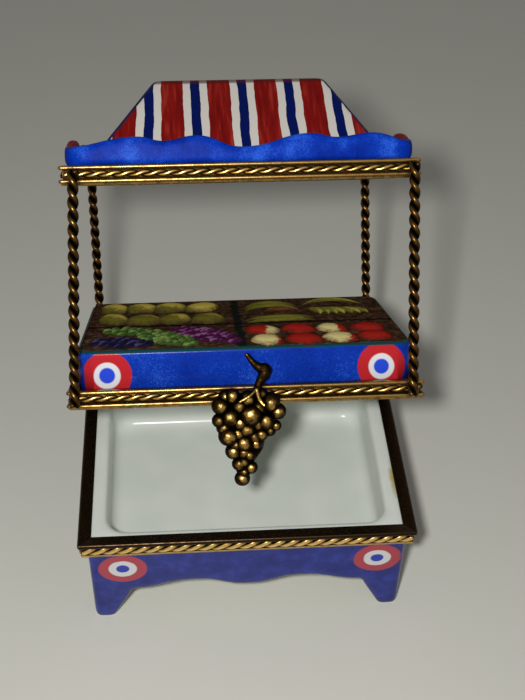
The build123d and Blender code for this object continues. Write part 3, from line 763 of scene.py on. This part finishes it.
bunch = []
for grapes, out, swell in zip((GRAPES, GRAPES_BEHIND), ROW_BULGE, ROW_SWELL):
    for across, down, share in grapes:
        bulge = out * BULGE_SHARE * (1 - down) / 2
        middle = (across * CLUSTER_LENGTH, CLUSTER_BACK - bulge * CLUSTER_LENGTH, CLUSTER_TOP - down * CLUSTER_LENGTH)
        bunch.append(cast_grape(middle, swell * share * CLUSTER_LENGTH, CLUSTER_BACK))
print("grapes in the cluster:", len(bunch))

# %% [markdown]
# The stem rises in front of the lid, swells at its elbow and ends in two prongs over the grapes. It keeps more of the
# dark wash than they do, and the prongs are rubbed bright. A flat core behind the grapes is painted fully dark as
# painted shade, so the last gaps between them read as shade.

# %% Stem, prongs and core
STEM_OUT = -21.5
STEM_DARK, PRONG_DARK = 0.16, -0.1
SHADE_CORE_FLAT = 0.5
stem_line = [(-0.15, STEM_OUT, 8.3), (0.85, STEM_OUT, 6.95), (1.8, STEM_OUT - 0.1, 6.1), (2.7, STEM_OUT - 0.2, 5.75),
             (2.55, STEM_OUT - 0.2, 4.95), (2.1, STEM_OUT - 0.2, 4.2), (1.65, STEM_OUT - 0.3, 3.3),
             (1.4, STEM_OUT - 0.6, 2.4)]
stem_radii = [0.28, 0.46, 0.74, 1.02, 0.9, 0.68, 0.6, 0.66]
left_prong = [(1.35, STEM_OUT - 0.9, 2.8), (0.2, STEM_OUT - 1.6, 1.85), (-1.5, STEM_OUT - 1.85, 0.95)]
right_prong = [(1.3, STEM_OUT - 0.9, 2.8), (1.7, STEM_OUT - 1.7, 1.3), (2.5, STEM_OUT - 2.2, 0.3)]
bunch.append(tapered_tube(stem_line, stem_radii, STEM_DARK))
bunch.append(tapered_tube(left_prong, [0.42, 0.32, 0.2], PRONG_DARK))
bunch.append(tapered_tube(right_prong, [0.5, 0.4, 0.26], PRONG_DARK))
shade_core_line = [(x, CLUSTER_BACK, z) for x, z in ((0.0, 1.8), (0.0, 0.0), (0.0, -2.6), (-0.3, -6.0), (-0.8, -9.2),
                                               (-1.1, -12.0))]
shade_core_verts, shade_core_faces, shade_core_paint = tapered_tube(shade_core_line, [1.2, 3.0, 3.8, 2.7, 1.5, 0.6])
shade_core_verts = [(x, min(CLUSTER_BACK, CLUSTER_BACK + (y - CLUSTER_BACK) * SHADE_CORE_FLAT), z) for x, y, z in shade_core_verts]
# painted shade: the core's paint is full, so it takes the darkest wash and fills the gaps as shade
bunch.append((shade_core_verts, shade_core_faces, [(1, 0, 0)] * len(shade_core_paint)))
add_piece("clasp_grape_cluster", joined(bunch), cast_brass, "lid", lid_frame, ["grape_clasp"])

# %% [markdown]
# ## Fruit on the display
# The fruit stands in low relief on the sloping top and is painted over the relief. A flat pattern would vanish at the
# camera's low angle, so each fruit is a shallow dome of its own outline, sunk a little into the top. The dome also
# carries its own coordinates, from -1 to 1 across and along, so one material can shade every pear alike.

# %% Shallow domes on the sloping top
top_frame = lid_frame @ Matrix.Translation((0, -DISPLAY_HALF[1] * MM, FRONT_TOP * MM)) @ Matrix.Rotation(
    math.atan(TOP_SLOPE), 4, "X")
SUNK = 0.1
rng = random.Random(7)
print("display slopes", round(math.degrees(math.atan(TOP_SLOPE)), 1), "degrees")


def low_fruit(u, v, half_wide, half_long, relief, turn=0.0, pinch=0.0, tone=0.5, rings=7, sides=22):
    """A dome at (u, v) on the top; pinch draws its far end in, as on a pear."""
    verts, faces, paint = [], [], []
    cos_turn, sin_turn = math.cos(turn), math.sin(turn)
    for i in range(rings + 1):
        r = i / rings
        for j in range(sides):
            a = 2 * math.pi * j / sides
            s, t = r * math.cos(a), r * math.sin(a)
            hand = 1 + 0.07 * math.sin(2 * a + u) + 0.04 * math.sin(5 * a + v)
            across, along = hand * s * half_wide * (1 - pinch * t), hand * t * half_long
            h = relief * math.sqrt(max(0.0, 1 - r * r)) - SUNK
            verts.append((u + across * cos_turn - along * sin_turn, v + across * sin_turn + along * cos_turn, h))
            paint.append((s, t, tone))
    for i in range(rings):
        for j in range(sides):
            a, b = i * sides + j, i * sides + (j + 1) % sides
            faces.append((a, b, b + sides, a + sides) if i else (a, b + sides, a + sides))
    return verts, faces, paint

# %% [markdown]
# The fruit lies on a ground that was painted first, in strokes of brown with dabs of ochre, and dark seams part the
# bins. It is overglaze colour and dries matt, unlike the glossy sides, so it is a thin panel of its own that
# fills the top inside the teal line.

# %% Painted ground
WASH_STROKE = 1.6
SEAM_WANDER, SEAM_FADE = 0.8, 0.6
OCHRE_DOT = 0.6
BIN_SEAMS = (("Y", 16.9, 0.7, "#120d0a"), ("X", -0.4, 0.85, "#10201f"))

ground_enamel, tree, shader = start_material("matt_brown_overglaze", IOR=1.5, Roughness=0.6, Specular_IOR_Level=0.0)
point = own_millimetres(tree, top_frame)
strokes = add_node(tree, "TexNoise", {"Vector": point, "Scale": 1 / WASH_STROKE, "Detail": 5.0, "Distortion": 1.2})
wash = shades(tree, strokes, (0.3, "#291b13"), (0.75, "#7a5c44"), (0.52, "#493327"))
dots = add_node(tree, "TexNoise", {"Vector": point, "Scale": 1 / OCHRE_DOT, "Detail": 2.0})
ochre = add_node(tree, "MapRange", {0: dots, 1: 0.6, 2: 0.68, 3: 0.0, 4: 0.6})
wash = blend(tree, ochre, wash, colour("#6b5527"))
parts = add_node(tree, "SeparateXYZ", {0: point})
for axis, place, half, dark in BIN_SEAMS:
    off = maths(tree, "SUBTRACT", parts.node.outputs[axis], place)
    off = maths(tree, "ABSOLUTE", off)
    off = maths(tree, "MULTIPLY_ADD", strokes, SEAM_WANDER, off)
    seam = add_node(tree, "MapRange", {0: off, 1: half + SEAM_FADE, 2: half, 3: 0.0, 4: 0.85})
    wash = blend(tree, seam, wash, colour(dark))
tree.links.new(wash, shader.inputs["Base Color"])
bump = add_node(tree, "Bump", {"Height": strokes, "Strength": 0.25, "Distance": 0.1 * MM})
tree.links.new(bump, shader.inputs["Normal"])
print("seams between the bins:", len(BIN_SEAMS))

# %% [markdown]
# The panel has the lid's own rounded outline, drawn in by the width of the teal line. A face in the plane of the top
# would flicker against it, so the panel is a slab that starts below the surface and ends a little over it.

# %% Panel of the display
PANEL_INSET = 0.55
PANEL_LIFT = 0.03
PANEL_SIDES = 48

panel_corner = DISPLAY_CORNER - PANEL_INSET
panel_long = 2 * DISPLAY_HALF[1] / math.cos(math.atan(TOP_SLOPE))
outline = []
for i in range(PANEL_SIDES):
    turn = 2 * math.pi * (i + 0.5) / PANEL_SIDES
    out_x, out_y = math.cos(turn), math.sin(turn)
    u = math.copysign(DISPLAY_HALF[0] - DISPLAY_CORNER, out_x) + panel_corner * out_x
    v = panel_long / 2 + math.copysign(panel_long / 2 - DISPLAY_CORNER, out_y) + panel_corner * out_y
    outline.append((u, v))
panel_verts = [(u, v, h) for h in (-SUNK, PANEL_LIFT) for u, v in outline]
panel_faces = [tuple(reversed(range(PANEL_SIDES))), tuple(range(PANEL_SIDES, 2 * PANEL_SIDES))]
for i in range(PANEL_SIDES):
    after = (i + 1) % PANEL_SIDES
    panel_faces.append((i, after, PANEL_SIDES + after, PANEL_SIDES + i))
panel = add_piece("painted_display_ground", (panel_verts, panel_faces, []), ground_enamel, "lid", top_frame)
panel.data.polygons.foreach_set("use_smooth", [False] * len(panel.data.polygons))

# %% [markdown]
# Painted fruit is lit by the painter: a warm light side, a body colour and a dark rim that sets it off from its
# neighbours. A ramp over the dome's own coordinates does that, and a noise in millimetres breaks it into dabs.

# %% Fruit enamel
DAB, DAB_SHARE, RIM_DAB_SHARE = 0.8, 0.9, 0.4
RIM_START, RIM_FULL = 0.78, 1.2


def fruit_enamel(name, rim, body, light, lit_from, lit_at):
    """Overglaze enamel dabbed on; lit_from points to the light side of the fruit's own coordinates."""
    material, tree, shader = start_material(name, IOR=1.5, Roughness=0.5, Specular_IOR_Level=0.0)
    own = add_node(tree, "Attribute", {}, out="Vector", attribute_name="paint")
    tone = add_node(tree, "SeparateXYZ", {0: own})
    flat_own = add_node(tree, "VectorMath", {0: own, 1: (1, 1, 0)}, operation="MULTIPLY")
    edge = add_node(tree, "VectorMath", {0: flat_own}, out="Value", operation="LENGTH")
    side = add_node(tree, "VectorMath", {0: flat_own, 1: (*lit_from, 0)}, out="Value", operation="DOT_PRODUCT")
    point = own_millimetres(tree, Matrix.Identity(4))
    dabs = add_node(tree, "TexNoise", {"Vector": point, "Scale": 1 / DAB, "Detail": 4.0, "Distortion": 0.6})
    lit = maths(tree, "MULTIPLY_ADD", dabs, DAB_SHARE, side)
    lit = maths(tree, "ADD", tone.node.outputs["Z"], lit)
    skin = shades(tree, lit, (lit_at - 0.3, body), (lit_at + 0.25, light))
    edge = maths(tree, "MULTIPLY_ADD", dabs, RIM_DAB_SHARE, edge)
    dark = add_node(tree, "MapRange", {0: edge, 1: RIM_START, 2: RIM_FULL, 3: 0.0, 4: 1.0})
    coat = blend(tree, dark, skin, colour(rim))
    tree.links.new(coat, shader.inputs["Base Color"])
    bump = add_node(tree, "Bump", {"Height": dabs, "Strength": 0.15, "Distance": 0.1 * MM})
    tree.links.new(bump, shader.inputs["Normal"])
    return material


pear_enamel = fruit_enamel("pear_enamel", "#33261a", "#77702b", "#dcc65a", (0.3, 0.6), 0.95)
peach_enamel = fruit_enamel("peach_enamel", "#4a1e15", "#b62a22", "#f4e49a", (-0.9, 0.1), 1.15)
indigo_enamel = fruit_enamel("indigo_grape_enamel", "#1c151c", "#201b3a", "#565080", (-0.4, 0.5), 1.1)
green_enamel = fruit_enamel("green_grape_enamel", "#262914", "#42622a", "#90ae5c", (-0.4, 0.5), 0.98)
purple_enamel = fruit_enamel("purple_grape_enamel", "#27141d", "#4c1941", "#a2629a", (-0.4, 0.5), 1.08)
banana_enamel = fruit_enamel("banana_enamel", "#362e16", "#74722a", "#c0b650", (0.2, 0.6), 0.95)
ripe_enamel = fruit_enamel("ripe_banana_enamel", "#3a2012", "#6e431f", "#a67e3c", (0.2, 0.6), 1.0)
print("fruit enamels, from", pear_enamel.name, "to", ripe_enamel.name)

# %% [markdown]
# Two rows of pears lie in the bin behind on the left, and two rows of peaches in the front one on the right. Each is a
# place on the top, a half width and a tone. A higher tone spreads the light side, so they aren't all painted alike, and
# a peach also has a turn that says which way its pale cheek looks.

# %% Pears and peaches
PEAR_LONG, PEAR_RELIEF, PEAR_TILT, PEAR_PINCH = 4.2, 0.9, 0.3, 0.12
PEACH_SWELL, PEACH_LONG, PEACH_RELIEF = 1.12, 3.6, 0.75
PEARS = [(-22.2, 31.4, 2.8, 0.55), (-17.4, 31.3, 3.0, 0.5), (-12.2, 31.2, 3.3, 0.55), (-6.4, 30.8, 3.2, 0.85),
         (-21.9, 22.6, 2.9, 0.4), (-16.6, 21.4, 3.4, 0.15), (-11.3, 21.6, 3.0, 0.3), (-5.6, 21.2, 3.1, 0.2)]
PEACHES = [(3.4, 11.0, 2.8, 0.25, math.pi), (9.5, 11.4, 2.7, -0.6, 0.2), (15.0, 11.0, 2.35, 0.75, 0.1),
           (21.0, 10.8, 2.65, -0.6, -0.2), (3.7, 4.0, 2.6, 1.0, 0.0), (9.7, 3.9, 3.0, -0.6, 0.1),
           (15.6, 4.2, 2.85, 0.9, -0.1), (21.3, 4.8, 2.6, -0.55, 0.0)]
pears = [low_fruit(u, v, wide, PEAR_LONG, PEAR_RELIEF, rng.uniform(-PEAR_TILT, PEAR_TILT), PEAR_PINCH, tone)
         for u, v, wide, tone in PEARS]
peaches = [low_fruit(u, v, PEACH_SWELL * wide, PEACH_LONG, PEACH_RELIEF, turn, 0.0, tone)
           for u, v, wide, tone, turn in PEACHES]
add_piece("painted_pears", joined(pears), pear_enamel, "lid", top_frame)
add_piece("painted_peaches", joined(peaches), peach_enamel, "lid", top_frame)

# %% [markdown]
# The painted grapes are single dabs of colour in three kinds. Domes are packed in rows across each bunch, and a seeded
# random shift and tone break the rows, as a hand does. The seed gives the same bunches at every run.

# %% Bunches of grapes
ROW_GAP, GRAPE_GAP, STRAY = 1.25, 1.3, 0.25
GRAPE_DOME = (1.05, 1.4, 0.42)


def grape_bunch(u, v, length, width, lean):
    """Small domes packed in rows that narrow towards the tip."""
    shapes = []
    rows = round(length / ROW_GAP)
    for i in range(rows):
        along = (i / (rows - 1) - 0.5) * length
        fill = math.sin(math.pi * (0.18 + 0.72 * i / (rows - 1))) * width
        count = max(1, round(fill / GRAPE_GAP))
        for j in range(count):
            across = (j - (count - 1) / 2) * GRAPE_GAP + rng.uniform(-STRAY, STRAY)
            a = along + rng.uniform(-STRAY, STRAY)
            shapes.append(low_fruit(u + a * math.cos(lean) - across * math.sin(lean),
                                    v + a * math.sin(lean) + across * math.cos(lean), *GRAPE_DOME,
                                    tone=rng.uniform(0.1, 0.7), rings=5, sides=14))
    return joined(shapes)


add_piece("painted_indigo_grapes", grape_bunch(-19.4, 5.2, 8.6, 6.5, -0.25), indigo_enamel, "lid", top_frame)
green_bunches = joined([grape_bunch(-18.2, 13.2, 8.5, 5.0, -0.1), grape_bunch(-12.2, 7.2, 11.0, 6.5, -0.85)])
add_piece("painted_green_grapes", green_bunches, green_enamel, "lid", top_frame)
add_piece("painted_purple_grapes", grape_bunch(-5.8, 9.0, 13.0, 7.0, -0.8), purple_enamel, "lid", top_frame)

# %% [markdown]
# The bananas lie in hands, seen from the side and from their tips. One is a crescent in low relief: rows of points
# across a bowed line, which grow narrow towards both ends. It stores the same coordinates as the domes, so the same
# kind of enamel shades it.

# %% Hands of bananas
def low_banana(u, v, length, width, bow, lean, relief=0.55, steps=16, sides=10):
    """A crescent in low relief, drawn in at both ends."""
    verts, faces, paint = [], [], []
    tone = rng.uniform(0.1, 0.6)
    for i in range(steps + 1):
        t = 2 * i / steps - 1
        x, y = t * length / 2, bow * (1 - t * t)
        fat = width / 2 * max(0.12, (1 - abs(t) ** 3))
        slope = math.atan2(-2 * bow * t, length / 2)
        for j in range(sides + 1):
            s = 2 * j / sides - 1
            across = fat * s
            px, py = x - across * math.sin(slope), y + across * math.cos(slope)
            h = relief * math.sqrt(max(0.0, 1 - s * s)) * fat / (width / 2) - SUNK
            verts.append((u + px * math.cos(lean) - py * math.sin(lean),
                          v + px * math.sin(lean) + py * math.cos(lean), h))
            paint.append((t * 0.9, s * 0.9, tone))
    for i in range(steps):
        for j in range(sides):
            a = i * (sides + 1) + j
            faces.append((a, a + sides + 1, a + sides + 2, a + 1))
    return verts, faces, paint


bananas = [low_banana(6.2, 26.6 + 2.0 * i, 10.5, 2.1, 4.4 + 0.4 * i, 0.12) for i in range(2)]
bananas += [low_banana(7.0, 17.4 + 2.1 * i, 13.0, 2.2, 1.6, 0.08) for i in range(2)]
bananas += [low_banana(17.4, 30.0, 11.5, 2.1, 4.8, 0.0)]
bananas += [low_banana(13.4 + 1.25 * i, 25.4 - 0.1 * i, 6.4, 1.9, 0.8, -1.25 + 0.07 * i) for i in range(7)]
add_piece("painted_bananas", joined(bananas), banana_enamel, "lid", top_frame)
add_piece("painted_ripe_banana", low_banana(8.0, 26.2, 6.6, 2.6, 1.8, 0.1), ripe_enamel, "lid", top_frame)

# %% [markdown]
# ## Floor, light and camera
# The piece stands on a plain pale board, one large square. A very soft noise keeps the board from looking like paper.

# %% Floor
FLOOR_REACH = 3.0
CLOUDS_ACROSS = 9.0

floor_mesh = bpy.data.meshes.new("floor")
corners = [(x * FLOOR_REACH, y * FLOOR_REACH, 0) for x, y in ((-1, -1), (1, -1), (1, 1), (-1, 1))]
floor_mesh.from_pydata(corners, [], [(0, 1, 2, 3)])
floor = bpy.data.objects.new("floor", floor_mesh)
bpy.context.scene.collection.objects.link(floor)
floor_paint, tree, shader = start_material("pale_matt_board", Roughness=0.45)
shade = add_node(tree, "TexNoise", {"Scale": CLOUDS_ACROSS, "Detail": 2.0})
tint = shades(tree, shade, (0.3, "#cac9be"), (0.7, "#d1d0c6"))
tree.links.new(tint, shader.inputs["Base Color"])
floor_mesh.materials.append(floor_paint)
print("floor reaches", FLOOR_REACH, "m each way")

# %% [markdown]
# A small lamp to the upper left of the camera works like a flash: it gives firm shadows and small sparks on the brass.
# A wide one to the upper right fills the shade. The world adds a little white from all round, but rays that the eye
# follows, straight, mirrored or through a clear thing, see a pale backdrop instead.

# %% Lamps and world
def soft_lamp(name, place, aim, size, watts):
    lamp = bpy.data.lights.new(name, "AREA")
    lamp.shape, lamp.size, lamp.energy = "DISK", size, watts
    holder = bpy.data.objects.new(name, lamp)
    holder.location = place
    holder.rotation_mode = "QUATERNION"
    holder.rotation_quaternion = (Vector(aim) - Vector(place)).to_track_quat("-Z", "Y")
    bpy.context.scene.collection.objects.link(holder)


KEY_SPOT, KEY_SIZE, KEY_WATTS = (-24.0, -141.0, 183.0), 0.014, 0.38
FILL_SPOT, FILL_SIZE, FILL_WATTS = (0.30, -0.25, 0.40), 0.40, 0.07
AMBIENT = 0.14
middle = (cad_low + cad_high) / 2
soft_lamp("key", box_frame @ (Vector(KEY_SPOT) * MM), middle, KEY_SIZE, KEY_WATTS)
soft_lamp("fill", FILL_SPOT, middle, FILL_SIZE, FILL_WATTS)
world = bpy.data.worlds.new("pale_studio")
bpy.context.scene.world = world
world.use_nodes = True
tree = world.node_tree
tree.nodes.clear()
path = add_node(tree, "LightPath", {}, out="Is Camera Ray")
seen = maths(tree, "MAXIMUM", path, path.node.outputs["Is Glossy Ray"])
seen = maths(tree, "MAXIMUM", seen, path.node.outputs["Is Transmission Ray"])
around = add_node(tree, "Background", {"Color": colour("#ffffff"), "Strength": AMBIENT})
backdrop = add_node(tree, "Background", {"Color": colour("#b9b6b0"), "Strength": 1.0})
both = add_node(tree, "MixShader", {0: seen, 1: around, 2: backdrop})
sky = tree.nodes.new("ShaderNodeOutputWorld")
tree.links.new(both, sky.inputs["Surface"])
print("lamps:", KEY_WATTS, "W key,", FILL_WATTS, "W fill")

# %% [markdown]
# The camera's place and turn were fitted to the corners of the three mounts in the photograph, so the render can be
# laid beside it. The focal length was held at a round number of pixels in that fit, and the sensor's width turns it
# to millimetres.

# %% Camera at the photograph's angle
IMAGE_SIZE = (525, 700)
FOCAL_PIXELS = 1150.0
CAMERA_SPOT = (-8.43, -139.65, 174.65)
YAW, PITCH, ROLL = [math.radians(a) for a in (4.762, 42.554, -1.344)]
ahead = Vector((math.sin(YAW) * math.cos(PITCH), math.cos(YAW) * math.cos(PITCH), -math.sin(PITCH)))
right = Vector((math.cos(YAW), -math.sin(YAW), 0))
down = ahead.cross(right)
rolled_right = right * math.cos(ROLL) + down * math.sin(ROLL)
rolled_up = right * math.sin(ROLL) - down * math.cos(ROLL)
lens = bpy.data.cameras.new("camera")
lens.sensor_width = 36.0
lens.lens = FOCAL_PIXELS * lens.sensor_width / max(IMAGE_SIZE)
lens.clip_start, lens.clip_end = 0.005, 20.0
camera = bpy.data.objects.new("camera", lens)
camera.matrix_world = Matrix.Translation(box_frame @ (Vector(CAMERA_SPOT) * MM)) @ Matrix(
    (rolled_right, rolled_up, -ahead)).transposed().to_4x4()
bpy.context.scene.collection.objects.link(camera)
bpy.context.scene.camera = camera
bpy.context.scene.view_settings.view_transform = "Standard"
print("lens", round(lens.lens, 2), "mm")
